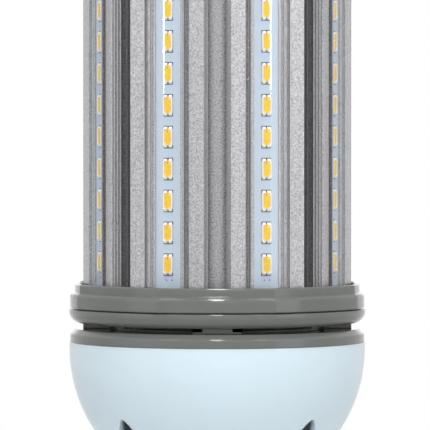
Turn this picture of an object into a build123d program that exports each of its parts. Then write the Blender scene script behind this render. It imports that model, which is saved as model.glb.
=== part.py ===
from build123d import *
import os
from math import cos, radians, sin, sqrt, tan

os.makedirs("parts", exist_ok=True)

# LED replacement lamp for a discharge lamp socket, in millimetres.
# The origin is at the tip of the centre contact, and +Z runs along the lamp to its LED end.
# Panels stand at 22.5 degrees and every 45 from there, grooves at 0, posts at 0 and every 90.

# Driving dimensions: the lamp's outer radius, and how far the other outer radii step in from it
flange_radius = 46.5
ring_step = 0.3
bowl_step = 0.1
rim_step = 0.35
rim_hollow = 1.45
band_step = 0.3

# Driving dimensions: screw base
contact_radius = 7.5
contact_height = 3.0
contact_dome = 1.4
contact_edge = 1.0
contact_edge_rise = 0.4
contact_stem_height = 1.2
stem_clearance = 0.1
insulator_foot_radius = 9.0
insulator_rim_drop = 0.6
insulator_top = 9.0
shell_bottom = 8.0
shell_top = 41.0
shell_wall = 0.45
shell_mouth_radius = 13.5
thread_major_radius = 19.65
thread_depth = 1.8
thread_pitch = 6.35
thread_start = 13.0
thread_turns = 3.5
thread_runout = 3.0
rings_per_turn = 12

# Driving dimensions: driver housing
bowl_rim_z = 95.0
bowl_centre_drop = 2.0
bowl_wall = 2.2
neck_radius = 22.0
neck_blend = 6.0
spigot_length = 12.0
spigot_wall = 1.8
spigot_clearance = 0.1
vent_count = 4
vent_latitude = 39.0
vent_length = 21.0
vent_width = 9.2
vent_tip_radius = 1.2
vent_start = 45.0
vent_cut_inset = 3.0
vent_cut_depth = 10.2
boss_radius = 3.6
boss_height = 13.0
boss_floor = 1.0
boss_root = 0.6

# Driving dimensions: rings and posts above the bowl
ring_hole_radius = 30.0
ring_height = 4.25
ring_chamfer = 1.65
air_gap = 1.75
lip_radius = 34.3
lip_wall = 1.2
lip_height = 0.72
window_half_width = 7.73
post_step = 0.2
post_depth = 9.2
post_half_width = 4.6
post_overrun = 0.5
flange_height = 4.95
flange_straight = 1.75
flange_taper = 4.1
flange_bulge = 1.0
parting_depth = 1.3
parting_height = 0.45
centre_hole_radius = 22.5

# Driving dimensions: collars
band_facet_radius = 60.0
band_corner_radius = 10.0
band_height = 4.75
band_shoulder = 1.4
rim_corner_radius = 2.0
rim_wall = 1.5
rim_height = 7.5
rim_edge_radius = 0.6
collar_floor = 2.0
gasket_thickness = 0.8
gasket_clearance = 0.3

# Driving dimensions: heat sink
panel_count = 8
column_clear_length = 140.9
core_radius = 31.0
core_wall = 2.5
stem_width = 3.2
stem_root = 0.5
face_distance = 40.4
panel_width = 24.6
panel_depth = 3.5
panel_corner_radius = 0.35
rib_count = 3
rib_start = 0.765
rib_pitch = 1.02
rib_width = 0.5
rib_depth = 0.5
port_circle_radius = 26.2
port_radius = 3.3
port_slit = 1.2

# Driving dimensions: boards, packages and covers
board_width = 9.4
board_thickness = 1.2
channel_depth = 2.5
channel_clearance = 0.1
lip_cover = 0.6
board_lip_thickness = 0.6
ridge_offset = 5.3
ridge_width = 0.6
ridge_rise = 0.7
slot_width = 1.5
slot_depth = 1.1
cover_width = 14.4
cover_wall = 1.1
cover_rise = 1.9
cover_corner_radius = 0.45
cover_crown = 0.25
led_count = 14
led_pitch = 9.77
led_width = 3.0
led_length = 5.7
led_height = 0.7
led_window_width = 2.2
led_window_length = 4.6
led_window_depth = 0.15
first_led_above_rim = 6.95

# Driving dimensions: top cap and wiring board
cap_side_height = 4.0
cap_height = 8.15
cap_taper = 6.5
cap_wall = 2.0
cap_bend_radius = 2.5
cap_edge_radius = 1.5
cap_boss_wall = 1.6
wiring_board_radius = 36.0
wiring_board_hole = 16.5
wiring_board_thickness = 1.6

# Driving dimensions: fasteners
screw_radius = 1.5
screw_clearance = 0.2
pilot_clearance = 0.05
head_radius = 2.9
head_height = 2.2
head_recess_clearance = 0.3
head_sink = 0.2
driver_cross_span = 3.5
driver_cross_width = 0.7
screw_bite = 12.0
pilot_end_clearance = 2.0

# Driving dimensions: driver
pcb_width = 48.0
pcb_thickness = 1.6
pcb_bottom = 61.0
pcb_top = 97.0
carrier_thickness = 2.0
carrier_inner_radius = 26.0
carrier_wall_gap = 1.7
rail_bottom = 62.5
rail_width = 6.0
rail_grip = 1.2
rail_outer_wall = 4.8
rail_clearance = 0.1
transformer_width = 20.0
transformer_length = 18.0
transformer_height = 15.0
bobbin_width = 14.0
bobbin_proud = 1.5
winding_proud = 0.5
electrolytic_radius = 6.0
electrolytic_height = 18.0
electrolytic_spacing = 15.0
electrolytic_inset = 8.0
electrolytic_edge = 0.8
front_part_offset = 8.0
choke_radius = 7.5
choke_hole_radius = 3.0
choke_height = 6.0
choke_edge = 1.5
film_width = 13.0
film_length = 11.0
film_height = 6.0
film_corner = 1.0
film_edge = 0.6
lead_radius = 0.9
lead_bend_share = 0.45
lead_x = 20.5
lead_y = 4.4
lead_entry = 4.0
lead_sway = 0.8

# How far a selector looks to each side of an edge's height
edge_margin = 0.1

# Radii that follow from the sizes above
ring_radius = flange_radius - ring_step
bowl_radius = flange_radius - bowl_step
rim_crease_radius = flange_radius - rim_step
rim_distance = rim_crease_radius - rim_hollow
band_facet_distance = flange_radius - band_step
flange_foot_radius = flange_radius - flange_taper
post_radius = flange_foot_radius - post_step
cavity_radius = bowl_radius - bowl_wall
carrier_outer_radius = cavity_radius - carrier_wall_gap
cap_top_radius = flange_radius - cap_taper
electrolytic_offset = pcb_width / 2 - electrolytic_inset

# Heights that follow from the sizes above
ring_top = bowl_rim_z + ring_height
flange_bottom = ring_top + air_gap
flange_top = flange_bottom + flange_height
lower_floor_top = flange_top + collar_floor
heat_sink_bottom = lower_floor_top + gasket_thickness
lower_rim_top = flange_top + rim_height
upper_rim_bottom = lower_rim_top + column_clear_length
upper_collar_end = upper_rim_bottom + rim_height
heat_sink_top = upper_collar_end - collar_floor - gasket_thickness
heat_sink_length = heat_sink_top - heat_sink_bottom
bowl_centre_z = bowl_rim_z - bowl_centre_drop
board_floor = face_distance - channel_depth
board_face = board_floor + board_thickness
panel_angle = 360 / panel_count
panel_start = panel_angle / 2
thread_mean_radius = thread_major_radius - thread_depth / 2
thread_end = thread_start + thread_turns * thread_pitch
boss_top = bowl_rim_z - carrier_thickness
post_circle_radius = post_radius - post_depth / 2
boss_reach = cavity_radius - post_circle_radius + boss_root
port_angles = PolarLocations(port_circle_radius, 4)
post_angles = PolarLocations(post_circle_radius, 4)


def save(piece, name):
    piece.part.label = name
    export_step(piece.part, f"parts/{name}.step")


def polar(radius, angle):
    return (radius * cos(radians(angle)), radius * sin(radians(angle)))


# The band is an octagon whose eight sides are shallow arcs and whose corners are well rounded.
def band_outline():
    centre = band_facet_distance - band_facet_radius
    half = radians(panel_angle / 2)
    corner = centre * cos(half) + sqrt(band_facet_radius**2 - (centre * sin(half)) ** 2)
    with BuildSketch() as outline:
        with BuildLine():
            for side in range(panel_count):
                turn = side * panel_angle
                ThreePointArc(
                    polar(corner, turn - panel_angle / 2),
                    polar(band_facet_distance, turn),
                    polar(corner, turn + panel_angle / 2),
                )
        make_face()
        fillet(outline.vertices(), band_corner_radius)
    return outline.sketch


# The rim has eight very shallow arcs, one over each groove, which meet in creases over the panels.
def rim_outline(inset):
    with BuildSketch() as outline:
        with BuildLine():
            for side in range(panel_count):
                turn = side * panel_angle
                ThreePointArc(
                    polar(rim_crease_radius - inset, turn - panel_angle / 2),
                    polar(rim_distance - inset, turn),
                    polar(rim_crease_radius - inset, turn + panel_angle / 2),
                )
        make_face()
        fillet(outline.vertices(), rim_corner_radius)
    return outline.sketch


# A screw with a pan head, which points along +Z from the underside of its head at the origin.
def pan_screw(length):
    with BuildPart() as screw:
        with BuildSketch():
            Circle(screw_radius)
        extrude(amount=length)
        chamfer(screw.faces().sort_by(Axis.Z)[-1].edges(), screw_radius / 3)
        with BuildSketch():
            Circle(head_radius)
        extrude(amount=-head_height)
        fillet(screw.faces().sort_by(Axis.Z)[0].edges(), head_height / 3)
        with BuildSketch(Plane.XY.offset(-head_height)):
            Rectangle(driver_cross_span, driver_cross_width)
            Rectangle(driver_cross_width, driver_cross_span)
        extrude(amount=head_height / 2, mode=Mode.SUBTRACT)
    return screw.part


# An insulated lead follows straight runs joined by the largest arcs that the runs leave room for.
def lead(points):
    corners = [Vector(*point) for point in points]
    runs = [after - before for before, after in zip(corners, corners[1:])]
    bends = []
    for before, after in zip(runs, runs[1:]):
        half_turn = radians(before.get_angle(after) / 2)
        bends.append(lead_bend_share * min(before.length, after.length) / tan(half_turn))
    print("lead radii", [round(bend, 1) for bend in bends])
    with BuildPart() as wire:
        with BuildLine() as route:
            FilletPolyline(*corners, radius=bends)
        with BuildSketch(Plane(origin=corners[0], z_dir=runs[0])):
            Circle(lead_radius)
        sweep()
    print("lead length", round(route.wire().length, 1), "volume", round(wire.part.volume, 1))
    return wire


# Centre contact: a turned brass disc with a domed solder point below and a rivet stem above
with BuildPart() as centre_contact:
    with BuildSketch(Plane.XZ):
        with BuildLine():
            TangentArc((0, 0), (contact_radius - contact_edge, contact_dome), tangent=(1, 0))
            Polyline(
                (contact_radius - contact_edge, contact_dome),
                (contact_radius, contact_dome + contact_edge_rise),
                (contact_radius, contact_height),
                (0, contact_height),
                (0, 0),
            )
        make_face()
    revolve(axis=Axis.Z)
    with BuildSketch(Plane.XY.offset(contact_height)):
        Circle(lead_radius * 2)
    extrude(amount=contact_stem_height)
save(centre_contact, "centre_contact")

# Base insulator: a moulded black cone between the contact and the mouth of the screw shell
with BuildPart() as base_insulator:
    with BuildSketch(Plane.XZ):
        with BuildLine():
            Polyline(
                (0, contact_height),
                (insulator_foot_radius, contact_height),
                (shell_mouth_radius, shell_bottom - insulator_rim_drop),
                (shell_mouth_radius, insulator_top),
                (0, insulator_top),
                close=True,
            )
        make_face()
    revolve(axis=Axis.Z)
    with BuildSketch(Plane.XY.offset(contact_height)):
        Circle(lead_radius * 2 + stem_clearance)
    extrude(amount=insulator_top - contact_height, mode=Mode.SUBTRACT)
save(base_insulator, "base_insulator")


# Screw shell: sheet brass rolled into a round thread of one start. Each level of the thread is a
# ring set off the axis, and the ring's centre goes round the axis once for each pitch.
def shell_body(inset):
    ring_count = round(thread_turns * rings_per_turn) + 1
    rings = [
        (shell_bottom, (0, 0), shell_mouth_radius + shell_wall - inset),
        (thread_start - thread_runout, (0, 0), thread_mean_radius - inset),
    ]
    for level in range(ring_count):
        height = thread_start + level * thread_pitch / rings_per_turn
        centre = polar(thread_depth / 2, level * 360 / rings_per_turn)
        rings.append((height, centre, thread_mean_radius - inset))
    rings.append((thread_end + thread_runout, (0, 0), thread_major_radius - inset))
    rings.append((shell_top, (0, 0), thread_major_radius - inset))
    sections = []
    for height, centre, radius in rings:
        with BuildSketch(Plane.XY.offset(height)) as ring:
            with Locations(centre):
                Circle(radius)
        sections.append(ring.sketch)
    with BuildPart() as body:
        loft(sections=sections, ruled=True)
    return body.part


shell_outside = shell_body(0)
shell_inside = shell_body(shell_wall)
with BuildPart() as screw_shell:
    add(shell_outside)
    add(shell_inside, mode=Mode.SUBTRACT)
save(screw_shell, "screw_shell")

# Driver housing: a moulded bowl, part of a sphere, with a neck and a spigot that holds the shell
neck_meet_z = bowl_centre_z - sqrt(bowl_radius**2 - neck_radius**2)
neck_bore = thread_major_radius - thread_depth - shell_wall - spigot_clearance - spigot_wall
cavity_meet_z = bowl_centre_z - sqrt(cavity_radius**2 - neck_bore**2)
spigot_radius = neck_bore + spigot_wall
bowl_rim_radius = sqrt(bowl_radius**2 - bowl_centre_drop**2)
cavity_rim_radius = sqrt(cavity_radius**2 - bowl_centre_drop**2)


def sphere_side(radius, height):
    return sqrt(radius**2 - (height - bowl_centre_z) ** 2)


with BuildPart() as bowl_cavity:
    with BuildSketch(Plane.XZ):
        with BuildLine():
            middle = (cavity_meet_z + bowl_rim_z) / 2
            ThreePointArc(
                (neck_bore, cavity_meet_z),
                (sphere_side(cavity_radius, middle), middle),
                (cavity_rim_radius, bowl_rim_z),
            )
            Polyline(
                (cavity_rim_radius, bowl_rim_z),
                (0, bowl_rim_z),
                (0, shell_top - spigot_length),
                (neck_bore, shell_top - spigot_length),
                (neck_bore, cavity_meet_z),
            )
        make_face()
    revolve(axis=Axis.Z)
    with BuildSketch(Plane.XY.offset(boss_top)):
        with post_angles:
            Circle(boss_radius)
            with Locations((boss_reach / 2, 0)):
                Rectangle(boss_reach, 2 * boss_radius)
    extrude(amount=-boss_height, mode=Mode.SUBTRACT)

with BuildPart() as driver_housing:
    with BuildSketch(Plane.XZ):
        with BuildLine():
            middle = (neck_meet_z + bowl_rim_z) / 2
            ThreePointArc(
                (neck_radius, neck_meet_z),
                (sphere_side(bowl_radius, middle), middle),
                (bowl_rim_radius, bowl_rim_z),
            )
            Polyline(
                (bowl_rim_radius, bowl_rim_z),
                (0, bowl_rim_z),
                (0, shell_top - spigot_length),
                (spigot_radius, shell_top - spigot_length),
                (spigot_radius, shell_top),
                (neck_radius, shell_top),
                (neck_radius, neck_meet_z),
            )
        make_face()
    revolve(axis=Axis.Z)
    neck_edge = driver_housing.edges().filter_by(GeomType.CIRCLE).filter_by_position(
        Axis.Z, neck_meet_z - edge_margin, neck_meet_z + edge_margin
    )
    fillet(neck_edge, neck_blend)
    add(bowl_cavity.part, mode=Mode.SUBTRACT)
    with BuildSketch(Plane.XY.offset(boss_top)):
        with post_angles:
            Circle(screw_radius + pilot_clearance)
    extrude(amount=-boss_height + boss_floor, mode=Mode.SUBTRACT)
    for vent in range(vent_count):
        turn = radians(vent_start + vent * 360 / vent_count)
        drop = radians(vent_latitude)
        outward = Vector(cos(turn) * cos(drop), sin(turn) * cos(drop), -sin(drop))
        along = Vector(-sin(turn), cos(turn), 0)
        centre = Vector(0, 0, bowl_centre_z) + outward * (cavity_radius - vent_cut_inset)
        with BuildSketch(Plane(origin=centre, x_dir=along, z_dir=outward)) as leaf:
            with BuildLine():
                ThreePointArc((0, -vent_length / 2), (vent_width / 2, 0), (0, vent_length / 2))
                ThreePointArc((0, vent_length / 2), (-vent_width / 2, 0), (0, -vent_length / 2))
            make_face()
            fillet(leaf.vertices(), vent_tip_radius)
        extrude(amount=vent_cut_depth, mode=Mode.SUBTRACT)
save(driver_housing, "driver_housing")

# Housing ring: a moulded ring on the bowl's rim, with low lips that face the flange ring's lips
with BuildPart() as housing_ring:
    with BuildSketch(Plane.XY.offset(bowl_rim_z)):
        Circle(ring_radius)
    extrude(amount=ring_height)
    chamfer(housing_ring.faces().sort_by(Axis.Z)[-1].edges(), ring_chamfer)
    with BuildSketch(Plane.XY.offset(ring_top)):
        Circle(lip_radius)
        Circle(lip_radius - lip_wall, mode=Mode.SUBTRACT)
        Rectangle(2 * window_half_width, 2 * ring_radius, mode=Mode.SUBTRACT)
        Rectangle(2 * ring_radius, 2 * window_half_width, mode=Mode.SUBTRACT)
    extrude(amount=lip_height)
    with BuildSketch(Plane.XY.offset(bowl_rim_z)):
        Circle(ring_hole_radius)
        with post_angles:
            Circle(screw_radius + screw_clearance)
    extrude(amount=ring_height, mode=Mode.SUBTRACT)
save(housing_ring, "housing_ring")

# Flange ring: a moulded ring under the lower collar, with four posts that stand on the housing ring
with BuildPart() as flange_ring:
    with BuildSketch(Plane.XZ):
        with BuildLine():
            straight_end = flange_top - flange_straight
            bend_radius = (flange_radius + flange_foot_radius) / 2 + flange_bulge
            bend_z = (straight_end + flange_bottom) / 2 - flange_bulge / 2
            ThreePointArc(
                (flange_radius, straight_end),
                (bend_radius, bend_z),
                (flange_foot_radius, flange_bottom),
            )
            Polyline(
                (flange_foot_radius, flange_bottom),
                (0, flange_bottom),
                (0, flange_top),
                (flange_radius - parting_depth, flange_top),
                (flange_radius - parting_depth, flange_top - parting_height),
                (flange_radius, flange_top - parting_height),
                (flange_radius, straight_end),
            )
        make_face()
    revolve(axis=Axis.Z)
    with BuildSketch(Plane.XY.offset(flange_bottom)):
        with post_angles:
            Rectangle(post_depth + 2 * post_overrun, 2 * post_half_width)
        Circle(post_radius, mode=Mode.INTERSECT)
    extrude(amount=-air_gap)
    with BuildSketch(Plane.XY.offset(flange_bottom)):
        Circle(lip_radius)
        Circle(lip_radius - lip_wall, mode=Mode.SUBTRACT)
        Rectangle(2 * window_half_width, 2 * ring_radius, mode=Mode.SUBTRACT)
        Rectangle(2 * ring_radius, 2 * window_half_width, mode=Mode.SUBTRACT)
    extrude(amount=-lip_height)
    with BuildSketch(Plane.XY.offset(ring_top)):
        Circle(centre_hole_radius)
        with post_angles:
            Circle(screw_radius + screw_clearance)
        with port_angles:
            Circle(screw_radius + screw_clearance)
    extrude(amount=air_gap + flange_height, mode=Mode.SUBTRACT)
    with BuildSketch(Plane.XY.offset(flange_top)):
        with post_angles:
            Circle(head_radius + head_recess_clearance)
    extrude(amount=-head_height - head_sink, mode=Mode.SUBTRACT)
save(flange_ring, "flange_ring")


# Each collar is one moulding: a band, a rim round the column and a floor under the heat sink
def collar(plane):
    axis = Axis(plane.origin, plane.z_dir)
    band = plane * band_outline()
    rim = plane * rim_outline(0)
    pocket = plane.offset(collar_floor) * rim_outline(rim_wall)
    with BuildPart() as body:
        extrude(band, amount=band_height)
        fillet(body.faces().sort_by(axis)[-1].edges(), band_shoulder)
        extrude(rim, amount=rim_height)
        extrude(pocket, amount=rim_height - collar_floor, mode=Mode.SUBTRACT)
        fillet(body.faces().sort_by(axis)[-1].edges(), rim_edge_radius)
        with BuildSketch(plane) as holes:
            Circle(centre_hole_radius)
            with port_angles:
                Circle(screw_radius + screw_clearance)
        extrude(holes.sketch, amount=collar_floor, mode=Mode.SUBTRACT)
    return body


lower_collar = collar(Plane.XY.offset(flange_top))
save(lower_collar, "lower_collar")
upper_collar = collar(Plane(origin=(0, 0, upper_collar_end), x_dir=(1, 0, 0), z_dir=(0, 0, -1)))
save(upper_collar, "upper_collar")


# Gaskets: sheet silicone between each collar floor and the end of the column
def gasket(height):
    outline = Plane.XY.offset(height) * rim_outline(rim_wall + gasket_clearance)
    with BuildPart() as sheet:
        extrude(outline, amount=gasket_thickness)
        with BuildSketch(Plane.XY.offset(height)) as holes:
            Circle(centre_hole_radius)
            with port_angles:
                Circle(screw_radius + screw_clearance)
        extrude(holes.sketch, amount=gasket_thickness, mode=Mode.SUBTRACT)
    return sheet


lower_gasket = gasket(lower_floor_top)
save(lower_gasket, "lower_gasket")
upper_gasket = gasket(heat_sink_top)
save(upper_gasket, "upper_gasket")

# Heat sink: one aluminium extrusion. Each panel stands on a stem and has a channel for a board,
# lips over the board's edges, a ridge and a slot on each side for the cover, and ribbed sides.
panel_back = face_distance - panel_depth
lip_bottom = board_face + channel_clearance
lip_top = lip_bottom + board_lip_thickness
half_board = board_width / 2 + channel_clearance
lip_edge = board_width / 2 - lip_cover
ridge_end = ridge_offset + ridge_width
slot_end = ridge_end + slot_width
slot_floor = face_distance - slot_depth
ridge_top = face_distance + ridge_rise
with BuildSketch() as panel_section:
    with BuildLine():
        Polyline(
            (board_floor, 0),
            (board_floor, half_board),
            (lip_bottom, half_board),
            (lip_bottom, lip_edge),
            (lip_top, lip_edge),
            (lip_top, ridge_offset),
            (ridge_top, ridge_offset),
            (ridge_top, ridge_end),
            (slot_floor, ridge_end),
            (slot_floor, slot_end),
            (face_distance, slot_end),
            (face_distance, panel_width / 2),
            (panel_back, panel_width / 2),
            (panel_back, 0),
            (board_floor, 0),
        )
    make_face()
    corners = panel_section.vertices().sort_by(Axis.Y)[-2:]
    fillet(corners, panel_corner_radius)
    for rib in range(rib_count):
        with Locations((face_distance - rib_start - rib * rib_pitch, panel_width / 2)):
            Rectangle(rib_width, 2 * rib_depth, mode=Mode.SUBTRACT)
    mirror(about=Plane.XZ)
with BuildPart() as heat_sink:
    with BuildSketch(Plane.XY.offset(heat_sink_bottom)):
        Circle(core_radius)
        with PolarLocations(0, panel_count, panel_start):
            add(panel_section.sketch)
            with Locations(((core_radius + panel_back) / 2, 0)):
                Rectangle(panel_back - core_radius + 2 * stem_root, stem_width)
        Circle(core_radius - core_wall, mode=Mode.SUBTRACT)
        with port_angles:
            Circle(port_radius)
            Circle(screw_radius + pilot_clearance, mode=Mode.SUBTRACT)
            with Locations((-port_radius / 2, 0)):
                Rectangle(port_radius, port_slit, mode=Mode.SUBTRACT)
    extrude(amount=heat_sink_length)
save(heat_sink, "heat_sink")

# LED boards, packages and covers: one of each for every panel, modelled on the panel that faces +X
cover_face = face_distance + cover_rise
cover_foot = slot_floor + channel_clearance
cover_inside = cover_face - cover_wall
first_led_z = lower_rim_top + first_led_above_rim
with BuildPart() as board_blank:
    with BuildSketch(Plane.XY.offset(heat_sink_bottom)):
        with Locations((board_floor + board_thickness / 2, 0)):
            Rectangle(board_thickness, board_width)
    extrude(amount=heat_sink_length)

# A package is a moulded body with a shallow window for the phosphor
package_seats = Plane(origin=(board_face, 0, first_led_z), x_dir=(0, 0, 1), z_dir=(1, 0, 0))
with BuildPart() as package_row:
    with BuildSketch(package_seats):
        with Locations([(place * led_pitch, 0) for place in range(led_count)]):
            Rectangle(led_length, led_width)
    extrude(amount=led_height)
    with BuildSketch(package_seats.offset(led_height)):
        with Locations([(place * led_pitch, 0) for place in range(led_count)]):
            Rectangle(led_window_length, led_window_width)
    extrude(amount=-led_window_depth, mode=Mode.SUBTRACT)

# A cover is a clear U whose two legs stand in the panel's slots. Its outer face is slightly crowned.
crown_radius = (cover_width / 2) ** 2 / (2 * cover_crown)
with BuildPart() as cover_blank:
    with BuildSketch(Plane.XY.offset(heat_sink_bottom)) as section:
        with Locations(((cover_foot + cover_face) / 2, 0)):
            Rectangle(cover_face - cover_foot, cover_width)
        with Locations((cover_face - crown_radius, 0)):
            Circle(crown_radius, mode=Mode.INTERSECT)
        fillet(section.vertices().sort_by(Axis.X)[-2:], cover_corner_radius)
        with Locations(((cover_foot + cover_inside) / 2, 0)):
            Rectangle(cover_inside - cover_foot, cover_width - 2 * cover_wall, mode=Mode.SUBTRACT)
    extrude(amount=heat_sink_length)

for panel in range(panel_count):
    turn = Rotation(0, 0, panel_start + panel * panel_angle)
    with BuildPart() as led_board:
        add(turn * board_blank.part)
    with BuildPart() as led_packages:
        add(turn * package_row.part)
    with BuildPart() as lens_cover:
        add(turn * cover_blank.part)
    save(led_board, f"led_board_{panel + 1}")
    save(led_packages, f"led_packages_{panel + 1}")
    save(lens_cover, f"lens_cover_{panel + 1}")

# Wiring board: an annular board on the upper collar's floor that joins the LED boards
cap_boss_radius = screw_radius + screw_clearance + cap_boss_wall
with BuildPart() as wiring_board:
    with BuildSketch(Plane.XY.offset(upper_collar_end)):
        Circle(wiring_board_radius)
        Circle(wiring_board_hole, mode=Mode.SUBTRACT)
        with port_angles:
            Circle(cap_boss_radius + screw_clearance, mode=Mode.SUBTRACT)
    extrude(amount=wiring_board_thickness)
save(wiring_board, "wiring_board")

# Top cap: a moulded cover over the wiring board, with bosses for its four screws
cap_top = upper_collar_end + cap_height
cap_side_top = upper_collar_end + cap_side_height
with BuildPart() as cap_hollow:
    with BuildSketch(Plane.XZ):
        with BuildLine():
            Polyline(
                (0, upper_collar_end),
                (flange_radius - parting_depth - cap_wall, upper_collar_end),
                (flange_radius - parting_depth - cap_wall, cap_side_top),
                (cap_top_radius - cap_wall, cap_top - cap_wall),
                (0, cap_top - cap_wall),
                close=True,
            )
        make_face()
    revolve(axis=Axis.Z)
    with BuildSketch(Plane.XY.offset(upper_collar_end)):
        with port_angles:
            Circle(cap_boss_radius)
    extrude(amount=cap_height, mode=Mode.SUBTRACT)
with BuildPart() as top_cap:
    with BuildSketch(Plane.XZ):
        with BuildLine():
            Polyline(
                (0, upper_collar_end),
                (flange_radius - parting_depth, upper_collar_end),
                (flange_radius - parting_depth, upper_collar_end + parting_height),
                (flange_radius, upper_collar_end + parting_height),
                (flange_radius, cap_side_top),
                (cap_top_radius, cap_top),
                (0, cap_top),
                close=True,
            )
        make_face()
    revolve(axis=Axis.Z)
    bend = top_cap.edges().filter_by(GeomType.CIRCLE).filter_by_position(
        Axis.Z, cap_side_top - edge_margin, cap_side_top + edge_margin
    )
    fillet(bend, cap_bend_radius)
    fillet(top_cap.faces().sort_by(Axis.Z)[-1].edges(), cap_edge_radius)
    add(cap_hollow.part, mode=Mode.SUBTRACT)
    with BuildSketch(Plane.XY.offset(upper_collar_end)):
        with port_angles:
            Circle(screw_radius + screw_clearance)
    extrude(amount=cap_height, mode=Mode.SUBTRACT)
    with BuildSketch(Plane.XY.offset(cap_top)):
        with port_angles:
            Circle(head_radius + head_recess_clearance)
    extrude(amount=-head_height - head_sink, mode=Mode.SUBTRACT)
save(top_cap, "top_cap")


# Three sets of four screws: cap to heat sink, collar to heat sink, and posts to the bowl's bosses
def screw_set(name, places, head_seat, direction, length):
    plane = Plane(origin=(0, 0, head_seat), x_dir=(1, 0, 0), z_dir=(0, 0, direction))
    with BuildPart() as screws:
        for place in places:
            add(plane * place * pan_screw(length))
    save(screws, name)


cap_seat = cap_top - head_height - head_sink
screw_set("top_cap_screws", port_angles, cap_seat, -1, cap_seat - heat_sink_top + screw_bite)
screw_set("collar_screws", port_angles, flange_bottom, 1, heat_sink_bottom - flange_bottom + screw_bite)
post_seat = flange_top - head_height - head_sink
post_screw_length = post_seat - boss_top + boss_height - pilot_end_clearance
screw_set("post_screws", post_angles, post_seat, -1, post_screw_length)

# Driver carrier: a moulded plate on the bowl's bosses, with two grooved rails for the driver board
with BuildPart() as driver_carrier:
    with BuildSketch(Plane.XY.offset(boss_top)):
        Circle(carrier_outer_radius)
        Circle(carrier_inner_radius, mode=Mode.SUBTRACT)
        with post_angles:
            Circle(screw_radius + screw_clearance, mode=Mode.SUBTRACT)
    extrude(amount=carrier_thickness)
    rail_inner = pcb_width / 2 - rail_grip
    rail_outer = pcb_width / 2 + rail_outer_wall
    with BuildSketch(Plane.XY.offset(rail_bottom)):
        for side in (-1, 1):
            with Locations((side * (rail_inner + rail_outer) / 2, 0)):
                Rectangle(rail_outer - rail_inner, rail_width)
    extrude(amount=boss_top + carrier_thickness - rail_bottom)
    with BuildSketch(Plane.XY.offset(rail_bottom)):
        Rectangle(pcb_width + 2 * rail_clearance, pcb_thickness + 2 * rail_clearance)
    extrude(amount=boss_top + carrier_thickness - rail_bottom, mode=Mode.SUBTRACT)
save(driver_carrier, "driver_carrier")

# Driver board, upright across the bowl
with BuildPart() as driver_board:
    with BuildSketch(Plane.XY.offset(pcb_bottom)):
        Rectangle(pcb_width, pcb_thickness)
    extrude(amount=pcb_top - pcb_bottom)
save(driver_board, "driver_board")

# Parts on the driver board. The back of the board faces +Y and its front faces -Y.
pcb_middle = (pcb_bottom + pcb_top) / 2
board_back = Plane(origin=(0, pcb_thickness / 2, pcb_middle), x_dir=(1, 0, 0), z_dir=(0, 1, 0))
board_front = Plane(origin=(0, -pcb_thickness / 2, pcb_middle), x_dir=(1, 0, 0), z_dir=(0, -1, 0))

with BuildPart() as transformer:
    with BuildSketch(board_back):
        Rectangle(transformer_width, transformer_length)
        Rectangle(bobbin_width, transformer_length + 2 * bobbin_proud)
    extrude(amount=transformer_height)
    with BuildSketch(board_back.offset(transformer_height / 3)):
        Rectangle(transformer_width + 2 * winding_proud, transformer_length / 3)
    extrude(amount=transformer_height / 3)
save(transformer, "transformer")

with BuildPart() as electrolytic_capacitors:
    with BuildSketch(board_back):
        for side in (-1, 1):
            with Locations((-electrolytic_offset, side * electrolytic_spacing / 2)):
                Circle(electrolytic_radius)
    extrude(amount=electrolytic_height)
    fillet(electrolytic_capacitors.faces().group_by(Axis.Y)[-1].edges(), electrolytic_edge)
save(electrolytic_capacitors, "electrolytic_capacitors")

with BuildPart() as filter_choke:
    with BuildSketch(board_front):
        with Locations((-front_part_offset, 0)):
            Circle(choke_radius)
            Circle(choke_hole_radius, mode=Mode.SUBTRACT)
    extrude(amount=choke_height)
    fillet(filter_choke.faces().sort_by(Axis.Y)[0].edges(), choke_edge)
save(filter_choke, "filter_choke")

with BuildPart() as film_capacitor:
    with BuildSketch(board_front):
        with Locations((front_part_offset, 0)):
            Rectangle(film_width, film_length)
    extrude(amount=film_height)
    fillet(film_capacitor.edges().filter_by(Axis.Y), film_corner)
    fillet(film_capacitor.faces().sort_by(Axis.Y)[0].edges(), film_edge)
save(film_capacitor, "film_capacitor")

# Leads: two from the driver board down to the base, and two up the core to the wiring board
live_lead = lead([(6, 0, pcb_bottom), (6, 0, 52), (0, 0, 40), (0, 0, contact_height + contact_stem_height)])
save(live_lead, "live_lead")

neutral_end = thread_mean_radius - shell_wall - thread_depth / 2
neutral_lead = lead(
    [
        (-6, 0, pcb_bottom),
        (-6, 0, 52),
        (-11, 0, 40),
        (-11, 0, 24),
        (-neutral_end, 0, thread_start + 3),
    ]
)
save(neutral_lead, "neutral_lead")

lead_climb_start = lower_rim_top + lead_entry
lead_climb = (upper_collar_end - lead_climb_start) / 3
for side, name in ((1, "positive_lead"), (-1, "negative_lead")):
    output_lead = lead(
        [
            (side * (lead_x - 2.5), 0, pcb_top),
            (side * (lead_x - 2.5), 0, pcb_top + 6),
            (side * lead_x, lead_y, lead_climb_start),
            (side * lead_x, lead_y + lead_sway, lead_climb_start + lead_climb),
            (side * lead_x, lead_y, lead_climb_start + 2 * lead_climb),
            (side * lead_x, lead_y, upper_collar_end),
        ]
    )
    save(output_lead, name)
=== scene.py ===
# %% [markdown]
# # A column lamp with panels of LEDs
#
# The lamp replaces a discharge lamp in a large screw socket. Its middle is one aluminium extrusion
# with eight panels. Every panel carries a board of LEDs under a clear cover. Grey mouldings close both
# ends, and a pale bowl with four vents holds the driver.
#
# The lamp's construction comes in ready made, at its real size, as a frame of named nodes. What is
# left to do here is how it looks: the light, the finishes, and the small forms that a camera sees
# first. Everything stays in metres and in the frame's own place.

# %% Load the frame
import math

import bmesh
import bpy
from mathutils import Matrix, Vector


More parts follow.
